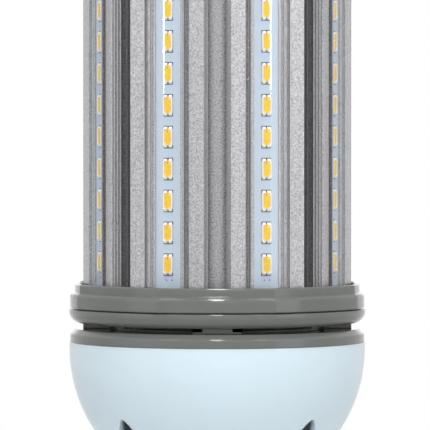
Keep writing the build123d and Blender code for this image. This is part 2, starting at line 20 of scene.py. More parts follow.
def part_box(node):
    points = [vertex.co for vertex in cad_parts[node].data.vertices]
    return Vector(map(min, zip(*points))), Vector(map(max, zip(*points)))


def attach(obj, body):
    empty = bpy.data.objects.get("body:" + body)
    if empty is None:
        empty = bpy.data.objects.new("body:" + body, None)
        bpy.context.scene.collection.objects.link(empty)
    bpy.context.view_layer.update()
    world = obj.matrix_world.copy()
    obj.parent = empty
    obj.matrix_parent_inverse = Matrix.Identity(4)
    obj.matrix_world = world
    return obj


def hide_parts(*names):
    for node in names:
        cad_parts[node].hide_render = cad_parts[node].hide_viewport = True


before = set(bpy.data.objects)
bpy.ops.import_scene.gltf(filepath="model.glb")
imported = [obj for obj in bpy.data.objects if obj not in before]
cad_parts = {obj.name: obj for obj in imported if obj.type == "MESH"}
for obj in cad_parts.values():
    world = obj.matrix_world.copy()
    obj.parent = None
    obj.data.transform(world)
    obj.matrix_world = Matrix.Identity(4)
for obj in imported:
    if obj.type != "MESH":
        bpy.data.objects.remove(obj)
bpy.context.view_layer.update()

MM = 0.001

# %% [markdown]
# ## The camera
#
# The photograph was taken from far away with a long lens: the covers at the sides look as wide as
# their angle to the front allows, and the rings bend only a little. So the camera stands well back,
# just above the collar's height, and looks very slightly down. A short lens close by would open the
# rings into wide ovals.

# %% Camera
CAMERA_DISTANCE = 1.466
CAMERA_HEIGHT = 0.17265
AIM_SIDE = -0.0007
AIM_HEIGHT = 0.1347
LENS = 391.0

camera_data = bpy.data.cameras.new("photo_camera")
camera_data.lens = LENS
camera_data.clip_end = 50.0
camera = bpy.data.objects.new("photo_camera", camera_data)
camera.location = (0.0, -CAMERA_DISTANCE, CAMERA_HEIGHT)
view_line = Vector((AIM_SIDE, 0.0, AIM_HEIGHT)) - camera.location
camera.rotation_euler = view_line.to_track_quat("-Z", "Y").to_euler()
bpy.context.scene.collection.objects.link(camera)
bpy.context.scene.camera = camera
bpy.context.scene.view_settings.view_transform = "Standard"
print("camera looks down by", round(math.degrees(math.atan2(-view_line.z, view_line.y)), 2), "degrees")

# %% [markdown]
# ## Floor and surroundings
#
# A catalogue picture has a white ground. More light would wash out the pale bowl, so the white comes
# from the surroundings themselves: rays from the camera, and rays that a gloss or a clear cover
# sends on, see white. All other rays get a soft, weaker daylight. The floor is matt and keeps the
# shadow close to the lamp, and turns white further out.

# %% World
DAYLIGHT = 0.28


def seen_directly(tree):
    """1 for a ray from the camera, a gloss or a clear cover, and 0 for light that spreads."""
    path = tree.nodes.new("ShaderNodeLightPath")
    first = tree.nodes.new("ShaderNodeMath")
    first.operation = "MAXIMUM"
    tree.links.new(path.outputs["Is Camera Ray"], first.inputs[0])
    tree.links.new(path.outputs["Is Glossy Ray"], first.inputs[1])
    both = tree.nodes.new("ShaderNodeMath")
    both.operation = "MAXIMUM"
    tree.links.new(first.outputs[0], both.inputs[0])
    tree.links.new(path.outputs["Is Transmission Ray"], both.inputs[1])
    return both.outputs[0]


world = bpy.data.worlds.new("white_studio")
world.use_nodes = True
bpy.context.scene.world = world
world_tree = world.node_tree
background = world_tree.nodes["Background"]
background.inputs["Color"].default_value = (1.0, 1.0, 1.0, 1.0)
level = world_tree.nodes.new("ShaderNodeMapRange")
level.inputs["To Min"].default_value = DAYLIGHT
level.inputs["To Max"].default_value = 1.0
world_tree.links.new(seen_directly(world_tree), level.inputs["Value"])
world_tree.links.new(level.outputs["Result"], background.inputs["Strength"])
print("daylight level", DAYLIGHT)

# %% Floor
FLOOR_RADIUS = 6.0
SHADOW_END = 0.25
WHITE_START = 0.55
FLOOR_DROP = 0.2 * MM

floor_mesh = bmesh.new()
bmesh.ops.create_circle(floor_mesh, cap_ends=True, segments=96, radius=FLOOR_RADIUS)
bmesh.ops.translate(floor_mesh, verts=floor_mesh.verts, vec=(0, 0, -FLOOR_DROP))
floor_data = bpy.data.meshes.new("floor")
floor_mesh.to_mesh(floor_data)
floor_mesh.free()
floor = bpy.data.objects.new("floor", floor_data)
bpy.context.scene.collection.objects.link(floor)

floor_paint = bpy.data.materials.new("floor_paint")
floor_paint.use_nodes = True
tree = floor_paint.node_tree
matt = tree.nodes["Principled BSDF"]
matt.inputs["Base Color"].default_value = (0.84, 0.84, 0.84, 1.0)
matt.inputs["Roughness"].default_value = 0.9
white = tree.nodes.new("ShaderNodeEmission")
white.inputs["Strength"].default_value = 1.0
place = tree.nodes.new("ShaderNodeTexCoord")
reach = tree.nodes.new("ShaderNodeVectorMath")
reach.operation = "LENGTH"
fade = tree.nodes.new("ShaderNodeMapRange")
fade.interpolation_type = "SMOOTHSTEP"
fade.inputs["From Min"].default_value = SHADOW_END
fade.inputs["From Max"].default_value = WHITE_START
share = tree.nodes.new("ShaderNodeMath")
share.operation = "MULTIPLY"
mix = tree.nodes.new("ShaderNodeMixShader")
tree.links.new(place.outputs["Object"], reach.inputs[0])
tree.links.new(reach.outputs["Value"], fade.inputs["Value"])
tree.links.new(fade.outputs["Result"], share.inputs[0])
tree.links.new(seen_directly(tree), share.inputs[1])
tree.links.new(share.outputs[0], mix.inputs[0])
tree.links.new(matt.outputs[0], mix.inputs[1])
tree.links.new(white.outputs[0], mix.inputs[2])
tree.links.new(mix.outputs[0], tree.nodes["Material Output"].inputs["Surface"])
floor_data.materials.append(floor_paint)
print("floor turns white from", SHADOW_END, "to", WHITE_START, "m")

# %% [markdown]
# ## Lamps
#
# Each clear cover shows one thin bright line down its middle, and the grey corners below show a
# spark at the same angle. That needs two tall narrow tubes, half way round to each side. Beside each
# tube stands a wide soft panel, which lights the outer half of the covers and gives the bowl its
# slope from left to right. The right panel is the stronger one. A soft panel behind the camera lights
# the column's middle, and one at the back keeps that side readable. Three strips hang high in front and
# lean in over the lamp. They are narrow from side to side, so a rounded edge that runs round a ring
# mirrors them as a short bright streak.

# %% Lamps
LAMP_AIM = 0.14


def lamp_panel(name, azimuth, distance, height, width, tall, radiance, tilted=True):
    """A rectangular lamp. Azimuth 0 is behind the camera and 90 is on the right."""
    turn = math.radians(azimuth)
    place = Vector((distance * math.sin(turn), -distance * math.cos(turn), height))
    aim = Vector((0, 0, LAMP_AIM if tilted else height))
    data = bpy.data.lights.new(name, "AREA")
    data.shape = "RECTANGLE"
    data.size = width
    data.size_y = tall
    data.energy = radiance * math.pi * width * tall
    lamp = bpy.data.objects.new(name, data)
    lamp.location = place
    lamp.rotation_euler = (aim - place).to_track_quat("-Z", "Y").to_euler()
    bpy.context.scene.collection.objects.link(lamp)
    print(name, "power", round(data.energy, 2), "W")
    return lamp


HALF_WAY = 45.0
TUBE_TALL = 1.0
TUBE_FOOT = 0.175
for side, name in ((-1, "left"), (1, "right")):
    lamp_panel(
        f"tube_{name}",
        azimuth=side * HALF_WAY,
        distance=1.2,
        height=TUBE_FOOT + TUBE_TALL / 2,
        width=0.009,
        tall=TUBE_TALL,
        radiance=36.0,
        tilted=False,
    )
    lamp_panel(
        f"strip_{name}",
        azimuth=side * HALF_WAY,
        distance=1.0,
        height=1.5,
        width=0.16,
        tall=0.9,
        radiance=9.0,
    )
lamp_panel("panel_left", azimuth=-63.0, distance=1.25, height=0.45, width=0.62, tall=1.1, radiance=0.45)
lamp_panel("panel_right", azimuth=58.0, distance=1.25, height=0.45, width=0.62, tall=1.1, radiance=0.9)
lamp_panel("panel_front", azimuth=6.0, distance=2.1, height=0.55, width=0.8, tall=0.8, radiance=1.3)
lamp_panel("panel_back", azimuth=180.0, distance=1.6, height=0.6, width=1.2, tall=1.0, radiance=0.45)
lamp_panel("strip_front", azimuth=0.0, distance=1.0, height=1.5, width=0.2, tall=0.9, radiance=29.0)

# %% [markdown]
# ## Shared effects
#
# Real surfaces are never one flat colour. Blasted aluminium has a grain about as coarse as fine
# sand, and mouldings have a faint mottle. Both are the same effect at different scales: noise that
# shifts the colour a little and also feeds the bump. So it is one node group, placed in each material
# with its own numbers. A second group draws the long lines that an extrusion die leaves.

# %% Node groups


def new_group(name, inputs, outputs):
    """An empty node group with these sockets, and its two end nodes."""
    group = bpy.data.node_groups.new(name, "ShaderNodeTree")
    for label, kind, value in inputs:
        socket = group.interface.new_socket(label, in_out="INPUT", socket_type=kind)
        if value is not None:
            socket.default_value = value
    for label, kind in outputs:
        group.interface.new_socket(label, in_out="OUTPUT", socket_type=kind)
    start = group.nodes.new("NodeGroupInput")
    end = group.nodes.new("NodeGroupOutput")
    return group, start, end


def mottled(group, start, end, noise):
    """Lightens and darkens the group's colour by a noise. Gives the noise back as a tone from -1 to 1."""
    tone = group.nodes.new("ShaderNodeMapRange")
    tone.inputs["From Min"].default_value = 0.3
    tone.inputs["From Max"].default_value = 0.7
    tone.inputs["To Min"].default_value = -1.0
    gain = group.nodes.new("ShaderNodeMath")
    gain.operation = "MULTIPLY_ADD"
    gain.inputs[2].default_value = 1.0
    lit = group.nodes.new("ShaderNodeVectorMath")
    lit.operation = "SCALE"
    link = group.links.new
    link(noise.outputs["Fac"], tone.inputs["Value"])
    link(tone.outputs["Result"], gain.inputs[0])
    link(start.outputs["Spread"], gain.inputs[1])
    link(start.outputs["Colour"], lit.inputs[0])
    link(gain.outputs[0], lit.inputs["Scale"])
    link(lit.outputs["Vector"], end.inputs["Colour"])
    return tone.outputs["Result"]


def build_grain_group():
    """Noise that lightens and darkens a colour, with its height for a bump."""
    group, start, end = new_group(
        "grain",
        [
            ("Vector", "NodeSocketVector", None),
            ("Colour", "NodeSocketColor", (0.5, 0.5, 0.5, 1.0)),
            ("Scale", "NodeSocketFloat", 1000.0),
            ("Spread", "NodeSocketFloat", 0.1),
        ],
        [("Colour", "NodeSocketColor"), ("Height", "NodeSocketFloat"), ("Tone", "NodeSocketFloat")],
    )
    noise = group.nodes.new("ShaderNodeTexNoise")
    noise.inputs["Detail"].default_value = 3.0
    noise.inputs["Roughness"].default_value = 0.6
    link = group.links.new
    link(start.outputs["Vector"], noise.inputs["Vector"])
    link(start.outputs["Scale"], noise.inputs["Scale"])
    tone = mottled(group, start, end, noise)
    link(noise.outputs["Fac"], end.inputs["Height"])
    link(tone, end.inputs["Tone"])
    return group


def build_die_line_group():
    """Long soft lines along Z, as a die draws them."""
    group, start, end = new_group(
        "die_lines",
        [
            ("Vector", "NodeSocketVector", None),
            ("Colour", "NodeSocketColor", (0.5, 0.5, 0.5, 1.0)),
            ("Scale", "NodeSocketFloat", 900.0),
            ("Spread", "NodeSocketFloat", 0.05),
        ],
        [("Colour", "NodeSocketColor")],
    )
    stretch = group.nodes.new("ShaderNodeMapping")
    stretch.inputs["Scale"].default_value = (1.0, 1.0, 0.004)
    noise = group.nodes.new("ShaderNodeTexNoise")
    noise.inputs["Detail"].default_value = 2.0
    link = group.links.new
    link(start.outputs["Vector"], stretch.inputs["Vector"])
    link(stretch.outputs["Vector"], noise.inputs["Vector"])
    link(start.outputs["Scale"], noise.inputs["Scale"])
    mottled(group, start, end, noise)
    return group


GRAIN = build_grain_group()
DIE_LINES = build_die_line_group()
print("groups:", [group.name for group in (GRAIN, DIE_LINES)])

# %% [markdown]
# A finish is the shader with the grain group in front of it. Screen colours, read from 0 to 255, are
# easier to compare with a picture than amounts of light, so a small function turns one into the other.

# %% A finish with a grain


def linear(red, green, blue):
    """A colour as a screen shows it, from 0 to 255, as the amount of light."""
    light = []
    for value in (red, green, blue):
        share = value / 255
        light.append(share / 12.92 if share <= 0.04045 else ((share + 0.055) / 1.055) ** 2.4)
    return (*light, 1.0)


def grained(name, colour, roughness, scale, spread, bump, metallic=0.0, height=0.05 * MM, edge=0.0):
    """A material whose colour and bump come from the grain group. Scale is in grains per metre.

    Edge is the radius to which sharp edges look rounded, so that they catch the light.
    """
    finish = bpy.data.materials.new(name)
    finish.use_nodes = True
    tree = finish.node_tree
    surface = tree.nodes["Principled BSDF"]
    surface.inputs["Roughness"].default_value = roughness
    surface.inputs["Metallic"].default_value = metallic
    place = tree.nodes.new("ShaderNodeTexCoord")
    grain = tree.nodes.new("ShaderNodeGroup")
    grain.node_tree = GRAIN
    grain.name = "grain"
    grain.inputs["Colour"].default_value = linear(*colour)
    grain.inputs["Scale"].default_value = scale
    grain.inputs["Spread"].default_value = spread
    tree.links.new(place.outputs["Object"], grain.inputs["Vector"])
    tree.links.new(grain.outputs["Colour"], surface.inputs["Base Color"])
    relief = tree.nodes.new("ShaderNodeBump")
    relief.name = "relief"
    relief.inputs["Strength"].default_value = bump
    relief.inputs["Distance"].default_value = height
    tree.links.new(grain.outputs["Height"], relief.inputs["Height"])
    tree.links.new(relief.outputs["Normal"], surface.inputs["Normal"])
    if edge > 0:
        rounding = tree.nodes.new("ShaderNodeBevel")
        rounding.name = "rounding"
        rounding.samples = 6
        rounding.inputs["Radius"].default_value = edge
        tree.links.new(rounding.outputs["Normal"], relief.inputs["Normal"])
    return finish


# %% [markdown]
# ## The aluminium extrusion
#
# The column is drawn through a die, blasted and anodised. It is one mesh with flat faces, so it keeps
# the frame's own mesh and only gets a finish: a metal of middle roughness, a grain of about half a
# millimetre in colour and bump, and faint lines along its length. The outer faces of the panels are
# smoother than the core, so the bump gets weaker from the axis outwards. A mirror-like metal would
# show the lamps as hard stripes, which the photograph doesn't have.

# %% Aluminium
EXTRUDED_EDGE = 0.22 * MM
aluminium = grained(
    "blasted_aluminium",
    (166, 166, 168),
    roughness=0.3,
    scale=2000.0,
    spread=0.46,
    bump=1.0,
    metallic=0.62,
    edge=EXTRUDED_EDGE,
)
tree = aluminium.node_tree
lines = tree.nodes.new("ShaderNodeGroup")
lines.node_tree = DIE_LINES
lines.inputs["Scale"].default_value = 700.0
lines.inputs["Spread"].default_value = 0.05
tree.links.new(tree.nodes["grain"].outputs["Colour"], lines.inputs["Colour"])
place = tree.nodes["Texture Coordinate"]
tree.links.new(place.outputs["Object"], lines.inputs["Vector"])

WING_INSIDE = 34.0 * MM
WING_OUTSIDE = 38.0 * MM
WING_SMOOTH = 0.6
flat_place = tree.nodes.new("ShaderNodeVectorMath")
flat_place.operation = "MULTIPLY"
flat_place.inputs[1].default_value = (1.0, 1.0, 0.0)
from_axis = tree.nodes.new("ShaderNodeVectorMath")
from_axis.operation = "LENGTH"
coarse = tree.nodes.new("ShaderNodeMapRange")
coarse.inputs["From Min"].default_value = WING_INSIDE
coarse.inputs["From Max"].default_value = WING_OUTSIDE
coarse.inputs["To Min"].default_value = 1.0
coarse.inputs["To Max"].default_value = WING_SMOOTH
rough_height = tree.nodes.new("ShaderNodeMath")
rough_height.operation = "MULTIPLY"
tree.links.new(place.outputs["Object"], flat_place.inputs[0])
tree.links.new(flat_place.outputs["Vector"], from_axis.inputs[0])
tree.links.new(from_axis.outputs["Value"], coarse.inputs["Value"])
tree.links.new(coarse.outputs["Result"], rough_height.inputs[0])
tree.links.new(tree.nodes["grain"].outputs["Height"], rough_height.inputs[1])
tree.links.new(rough_height.outputs[0], tree.nodes["relief"].inputs["Height"])

# %% [markdown]
# The sharp edges of the extrusion catch the lamps as thin bright lines. Here they are a painted
# highlight, a near white mixed into the colour. The rounded normal leaves the face's own normal only near
# an edge, so the angle between the two is a mask.

# %% Painted highlights on edges
EDGE_HIGHLIGHT_START = 0.997
EDGE_HIGHLIGHT_FULL = 0.94
EDGE_HIGHLIGHT_SHARE = 0.9
faces_way = tree.nodes.new("ShaderNodeNewGeometry")
agreement = tree.nodes.new("ShaderNodeVectorMath")
agreement.operation = "DOT_PRODUCT"
edge_highlight_mask = tree.nodes.new("ShaderNodeMapRange")
edge_highlight_mask.inputs["From Min"].default_value = EDGE_HIGHLIGHT_START
edge_highlight_mask.inputs["From Max"].default_value = EDGE_HIGHLIGHT_FULL
edge_highlight_mask.inputs["To Max"].default_value = EDGE_HIGHLIGHT_SHARE
# Painted highlight: near edges the colour turns towards near white, where the lamps would glint.
painted_edge_highlight = tree.nodes.new("ShaderNodeMix")
painted_edge_highlight.data_type = "RGBA"
painted_edge_highlight.inputs["B"].default_value = linear(244, 246, 246)
tree.links.new(tree.nodes["rounding"].outputs["Normal"], agreement.inputs[0])
tree.links.new(faces_way.outputs["True Normal"], agreement.inputs[1])
tree.links.new(agreement.outputs["Value"], edge_highlight_mask.inputs["Value"])
tree.links.new(edge_highlight_mask.outputs["Result"], painted_edge_highlight.inputs["Factor"])
tree.links.new(lines.outputs["Colour"], painted_edge_highlight.inputs["A"])

# %% [markdown]
# Narrow grooves of the extrusion get less light than its open faces, and that shade is painted into the
# colour here, so that they show as fine dark lines. Ambient occlusion measures how closed in a point is,
# and darkens the colour there.

# %% Painted shade in grooves
GROOVE_REACH = 0.5 * MM
GROOVE_SHADE_TONE = 0.75
GROOVE_DEEP = 0.3
GROOVE_OPEN = 0.75
closed_in = tree.nodes.new("ShaderNodeAmbientOcclusion")
closed_in.samples = 8
closed_in.inputs["Distance"].default_value = GROOVE_REACH
# Painted shade: the colour is darkened where a point is closed in.
painted_groove_shade = tree.nodes.new("ShaderNodeMapRange")
painted_groove_shade.inputs["From Min"].default_value = GROOVE_DEEP
painted_groove_shade.inputs["From Max"].default_value = GROOVE_OPEN
painted_groove_shade.inputs["To Min"].default_value = GROOVE_SHADE_TONE
shaded = tree.nodes.new("ShaderNodeVectorMath")
shaded.operation = "SCALE"
tree.links.new(closed_in.outputs["AO"], painted_groove_shade.inputs["Value"])
tree.links.new(painted_edge_highlight.outputs["Result"], shaded.inputs[0])
tree.links.new(painted_groove_shade.outputs["Result"], shaded.inputs["Scale"])
tree.links.new(shaded.outputs["Vector"], tree.nodes["Principled BSDF"].inputs["Base Color"])


def dress(name, finish):
    """Puts a finish in every slot of a CAD node."""
    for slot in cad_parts[name].material_slots:
        slot.material = finish


dress("heat_sink", aluminium)

# %% [markdown]
# ## Grey and pale mouldings
#
# The rings and collars are moulded in grey plastic with a satin gloss, and the bowl in a pale
# blue-white one. Gloss comes from a low roughness, and the mottle is faint and large, so that the
# reflections of the lamps bend a little, as they do on any moulding.

# %% Mouldings
MOULDED_EDGE = 0.65 * MM
grey_plastic = grained(
    "grey_moulding", (100, 103, 99), 0.11, 140.0, 0.03, 0.1, height=0.2 * MM, edge=MOULDED_EDGE
)
pale_plastic = grained(
    "pale_moulding", (210, 228, 238), 0.3, 90.0, 0.012, 0.1, height=0.2 * MM, edge=MOULDED_EDGE
)
for name in ("lower_collar", "upper_collar", "flange_ring", "housing_ring", "top_cap"):
    dress(name, grey_plastic)
dress("driver_housing", pale_plastic)

# %% [markdown]
# The bowl's wall lets some light through, which is why the vents look grey inside and not black. In
# the shader that is a share of subsurface light with a reach of a few millimetres. Ejector pins left
# three faint round marks on its outside, and they are small steps in the bump's height.

# %% Light through the bowl, and pin marks
BOWL_CENTRE = Vector((0, 0, 93.0 * MM))
BOWL_RADIUS = 46.4 * MM
PIN_RADIUS = 1.6 * MM
PIN_STEP = 0.25 * MM
PIN_MARKS = ((-14.8, 76.2), (6.1, 72.6), (-14.0, 91.5))

tree = pale_plastic.node_tree
surface = tree.nodes["Principled BSDF"]
surface.inputs["Subsurface Weight"].default_value = 0.5
surface.inputs["Subsurface Radius"].default_value = (1.0, 1.0, 1.0)
surface.inputs["Subsurface Scale"].default_value = 4.0 * MM
place = tree.nodes["Texture Coordinate"]
height = tree.nodes["grain"].outputs["Height"]
for azimuth, level_mm in PIN_MARKS:
    drop = level_mm * MM - BOWL_CENTRE.z
    reach = math.sqrt(BOWL_RADIUS**2 - drop**2)
    turn = math.radians(azimuth)
    away = tree.nodes.new("ShaderNodeVectorMath")
    away.operation = "DISTANCE"
    away.inputs[1].default_value = (reach * math.sin(turn), -reach * math.cos(turn), level_mm * MM)
    step = tree.nodes.new("ShaderNodeMapRange")
    step.inputs["From Min"].default_value = PIN_RADIUS
    step.inputs["From Max"].default_value = PIN_RADIUS + PIN_STEP
    step.inputs["To Min"].default_value = 1.0
    step.inputs["To Max"].default_value = 0.0
    total = tree.nodes.new("ShaderNodeMath")
    total.operation = "ADD"
    tree.links.new(place.outputs["Object"], away.inputs[0])
    tree.links.new(away.outputs["Value"], step.inputs["Value"])
    tree.links.new(step.outputs["Result"], total.inputs[0])
    tree.links.new(height, total.inputs[1])
    height = total.outputs[0]
tree.links.new(height, tree.nodes["relief"].inputs["Height"])
print("pin marks:", len(PIN_MARKS))

# %% [markdown]
# The small parts and the parts inside show little or nothing in this view. Each gets the plain finish
# of its real material, so that the part also looks right with a cover taken off.

# %% Small parts and inner parts
rubber = grained("silicone_sheet", (212, 214, 214), 0.6, 900.0, 0.05, 0.1)
board_mask = grained("white_solder_mask", (186, 201, 216), 0.35, 400.0, 0.02, 0.05)
steel = grained("plated_steel", (190, 190, 192), 0.3, 1200.0, 0.08, 0.15, 1.0)
shell_metal = grained("nickel_plate", (206, 200, 188), 0.24, 260.0, 0.05, 0.1, 1.0)
brass = grained("turned_brass", (206, 176, 108), 0.3, 900.0, 0.08, 0.15, 1.0)
insulator = grained("black_glass", (22, 22, 24), 0.12, 500.0, 0.2, 0.06)
green_mask = grained("green_solder_mask", (26, 96, 52), 0.35, 500.0, 0.12, 0.1)
carrier_white = grained("white_moulding", (214, 220, 224), 0.5, 1200.0, 0.04, 0.2)
tape = grained("winding_tape", (214, 178, 40), 0.35, 600.0, 0.08, 0.1)
sleeve = grained("shrink_sleeve", (26, 28, 48), 0.3, 500.0, 0.1, 0.1)
dip = grained("dipped_yellow", (206, 160, 44), 0.3, 400.0, 0.06, 0.1)
copper = grained("enamelled_copper", (186, 104, 60), 0.3, 1600.0, 0.15, 0.5, 1.0)
red_skin = grained("red_insulation", (170, 24, 24), 0.4, 700.0, 0.06, 0.1)
black_skin = grained("black_insulation", (24, 24, 24), 0.4, 700.0, 0.1, 0.1)
white_skin = grained("white_insulation", (226, 226, 222), 0.4, 700.0, 0.04, 0.1)

for name, finish in {
    "lower_gasket": rubber,
    "upper_gasket": rubber,
    "wiring_board": board_mask,
    "collar_screws": steel,
    "post_screws": steel,
    "top_cap_screws": steel,
    "screw_shell": shell_metal,
    "centre_contact": brass,
    "base_insulator": insulator,
    "driver_board": green_mask,
    "driver_carrier": carrier_white,
    "transformer": tape,
    "electrolytic_capacitors": sleeve,
    "film_capacitor": dip,
    "filter_choke": copper,
    "positive_lead": red_skin,
    "negative_lead": black_skin,
    "live_lead": black_skin,
    "neutral_lead": white_skin,
}.items():
    dress(name, finish)

PANELS = 8
for panel in range(PANELS):
    dress(f"led_board_{panel + 1}", board_mask)
print("finishes:", len(bpy.data.materials))

# %% [markdown]
# ## The clear covers
#
# A cover is a thin clear extrusion, a U that stands on its two legs. Its outer face is a little
# crowned, and that crown is what narrows the tube's reflection to a thin line. Frame meshes are made
# of flat facets, which would break that line up, so each cover is made again with a smooth crown:
# the section is drawn once, with the crown spun as an arc, and then extruded along the column.
#
# Glass with real refraction would bend the light twice in each thin wall, and the packages at the
# sides would vanish behind false dark lines. So each skin of the cover is a thin mirror coat that is
# nearly absent: its opacity is the share of light that a plastic surface reflects, about 4 parts in
# 100 seen square on, and more and more towards the grazing edge. The rest goes straight through, and
# so does the lamps' light. The flat inner skin would mirror the tube as a wide bar, so only the skin
# that faces the viewer has the coat.

# %% Clear plastic
SQUARE_ON = 0.04
GRAZING = 0.5
clear = bpy.data.materials.new("clear_plastic")
clear.use_nodes = True
tree = clear.node_tree
pane = tree.nodes["Principled BSDF"]
pane.inputs["Metallic"].default_value = 1.0
pane.inputs["Base Color"].default_value = linear(250, 252, 255)
place = tree.nodes.new("ShaderNodeTexCoord")
grain = tree.nodes.new("ShaderNodeGroup")
grain.node_tree = GRAIN
grain.inputs["Scale"].default_value = 120.0
smear = tree.nodes.new("ShaderNodeMapRange")
smear.inputs["From Min"].default_value = -1.0
smear.inputs["To Min"].default_value = 0.015
smear.inputs["To Max"].default_value = 0.03
tree.links.new(place.outputs["Object"], grain.inputs["Vector"])
tree.links.new(grain.outputs["Tone"], smear.inputs["Value"])
tree.links.new(smear.outputs["Result"], pane.inputs["Roughness"])
slant = tree.nodes.new("ShaderNodeLayerWeight")
slant.inputs["Blend"].default_value = 0.5
steep = tree.nodes.new("ShaderNodeMath")
steep.operation = "POWER"
steep.inputs[1].default_value = 5.0
opacity = tree.nodes.new("ShaderNodeMapRange")
opacity.inputs["To Min"].default_value = SQUARE_ON
opacity.inputs["To Max"].default_value = GRAZING
tree.links.new(slant.outputs["Facing"], steep.inputs[0])
tree.links.new(steep.outputs[0], opacity.inputs["Value"])
outer_skin = tree.nodes.new("ShaderNodeNewGeometry")
bare = tree.nodes.new("ShaderNodeMath")
bare.operation = "SUBTRACT"
bare.inputs[0].default_value = 1.0
outside_only = tree.nodes.new("ShaderNodeMath")
outside_only.operation = "MULTIPLY"
tree.links.new(outer_skin.outputs["Backfacing"], bare.inputs[1])
tree.links.new(bare.outputs[0], outside_only.inputs[0])
tree.links.new(opacity.outputs["Result"], outside_only.inputs[1])
tree.links.new(outside_only.outputs[0], pane.inputs["Alpha"])
print("clear plastic reflects from", SQUARE_ON, "to", GRAZING)

# %% Cover sizes
FACE_DISTANCE = 40.4 * MM
COVER_RISE = 1.9 * MM
COVER_WIDTH = 14.4 * MM
COVER_WALL = 1.1 * MM
COVER_CROWN = 0.25 * MM
COVER_EDGE = 0.45 * MM
SLOT_FLOOR = FACE_DISTANCE - 1.0 * MM
CROWN_STEPS = 32
FIRST_PANEL = 22.5
PANEL_STEP = 360.0 / PANELS


def turned_to_panel(shape, panel):
    """Turns what was made on the panel that faces +X to its own panel."""
    turn = Matrix.Rotation(math.radians(FIRST_PANEL + panel * PANEL_STEP), 4, "Z")
    bmesh.ops.transform(shape, matrix=turn, verts=shape.verts)


def finished(shape, name, finishes, replaced, smooth_below=30.0):
    """A bmesh as a piece of the lamp, with sharp edges kept where faces meet at more than an angle."""
    bmesh.ops.recalc_face_normals(shape, faces=shape.faces)
    mesh = bpy.data.meshes.new(name)
    shape.to_mesh(mesh)
    shape.free()
    for face in mesh.polygons:
        face.use_smooth = True
    mesh.set_sharp_from_angle(angle=math.radians(smooth_below))
    for finish in finishes:
        mesh.materials.append(finish)
    piece = bpy.data.objects.new(name, mesh)
    bpy.context.scene.collection.objects.link(piece)
    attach(piece, "root")
    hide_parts(replaced)
    return piece


# %% Covers
def cover_shape(low, high):
    """A U of constant section from one height to another, on the panel that faces +X."""
    half = COVER_WIDTH / 2
    crown_radius = half**2 / (2 * COVER_CROWN)
    outside = FACE_DISTANCE + COVER_RISE
    shoulder = outside - COVER_CROWN
    shape = bmesh.new()
    first = shape.verts.new((shoulder, -half, low))
    sweep = 2 * math.asin(half / crown_radius)
    spun = bmesh.ops.spin(
        shape,
        geom=[first],
        cent=(outside - crown_radius, 0, low),
        axis=(0, 0, 1),
        angle=sweep,
        steps=CROWN_STEPS,
    )
    last = spun["geom_last"][0]
    rest = [
        (SLOT_FLOOR, half),
        (SLOT_FLOOR, half - COVER_WALL),
        (outside - COVER_WALL, half - COVER_WALL),
        (outside - COVER_WALL, COVER_WALL - half),
        (SLOT_FLOOR, COVER_WALL - half),
        (SLOT_FLOOR, -half),
    ]
    chain = [last] + [shape.verts.new((out, side, low)) for out, side in rest] + [first]
    for one, other in zip(chain, chain[1:]):
        shape.edges.new((one, other))
    section = bmesh.ops.contextual_create(shape, geom=shape.edges)["faces"]
    grown = bmesh.ops.extrude_face_region(shape, geom=section)
    lifted = [item for item in grown["geom"] if isinstance(item, bmesh.types.BMVert)]
    bmesh.ops.translate(shape, verts=lifted, vec=(0, 0, high - low))
    shape.edges.ensure_lookup_table()
    shoulders = [
        edge
        for edge in shape.edges
        if abs(edge.verts[0].co.z - edge.verts[1].co.z) > MM
        and abs(abs(edge.verts[0].co.y) - half) < 0.01 * MM
        and edge.verts[0].co.x > SLOT_FLOOR + MM
    ]
    bmesh.ops.bevel(
        shape,
        geom=shoulders,
        offset=COVER_EDGE,
        offset_type="OFFSET",
        segments=4,
        profile=0.5,
        affect="EDGES",
        material=-1,
    )
    return shape


cover_low, cover_high = (corner.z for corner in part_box("lens_cover_1"))
for panel in range(PANELS):
    shape = cover_shape(cover_low, cover_high)
    turned_to_panel(shape, panel)
    finished(shape, f"clear_cover_{panel + 1}", [clear], f"lens_cover_{panel + 1}")
print("covers", round((cover_high - cover_low) / MM, 1), "mm long")

# %% [markdown]
# ## The LED packages
#
# A package is a white moulded frame round a pool of yellow phosphor. At each end two pads are
# soldered to the board, and the solder climbs the pads in small shiny wedges. From a step away these
# read as a yellow block with bright corners and dark rims. So each package is a white block with its
# window inset and sunk, and four wedges on thin dark rims. The dark rims are a painted dark reflection
# of the shiny solder fillets. The row is one piece, placed by the frame's own row.

# %% Package finishes
package_white = grained("package_moulding", (236, 236, 238), 0.45, 1500.0, 0.03, 0.1)
solder = grained("solder", (240, 240, 242), 0.3, 1500.0, 0.06, 0.2)
# Painted dark reflection of the solder fillets round the pads; the plated holes below each row use the
# same dark colour as their own.
pad_reflection_and_via_dark = grained("painted_pad_reflection_and_vias", (34, 38, 48), 0.4, 1500.0, 0.1, 0.1)


def spot(tree, window, centre, inner, outer, strength):
    """A mask that is strong round one point of the window, as a number from 0 to strength."""
    away = tree.nodes.new("ShaderNodeVectorMath")
    away.operation = "DISTANCE"
    away.inputs[1].default_value = (*centre, 0.0)
    fade = tree.nodes.new("ShaderNodeMapRange")
    fade.inputs["From Min"].default_value = outer
    fade.inputs["From Max"].default_value = inner
    fade.inputs["To Max"].default_value = strength
    tree.links.new(window.outputs["UV"], away.inputs[0])
    tree.links.new(away.outputs["Value"], fade.inputs["Value"])
    return fade.outputs["Result"]


def tinted(tree, colour, mask, tint):
    """A colour that turns to a tint where the mask is strong."""
    blend = tree.nodes.new("ShaderNodeMix")
    blend.data_type = "RGBA"
    blend.inputs["B"].default_value = linear(*tint)
    tree.links.new(mask, blend.inputs["Factor"])
    tree.links.new(colour, blend.inputs["A"])
    return blend.outputs["Result"]


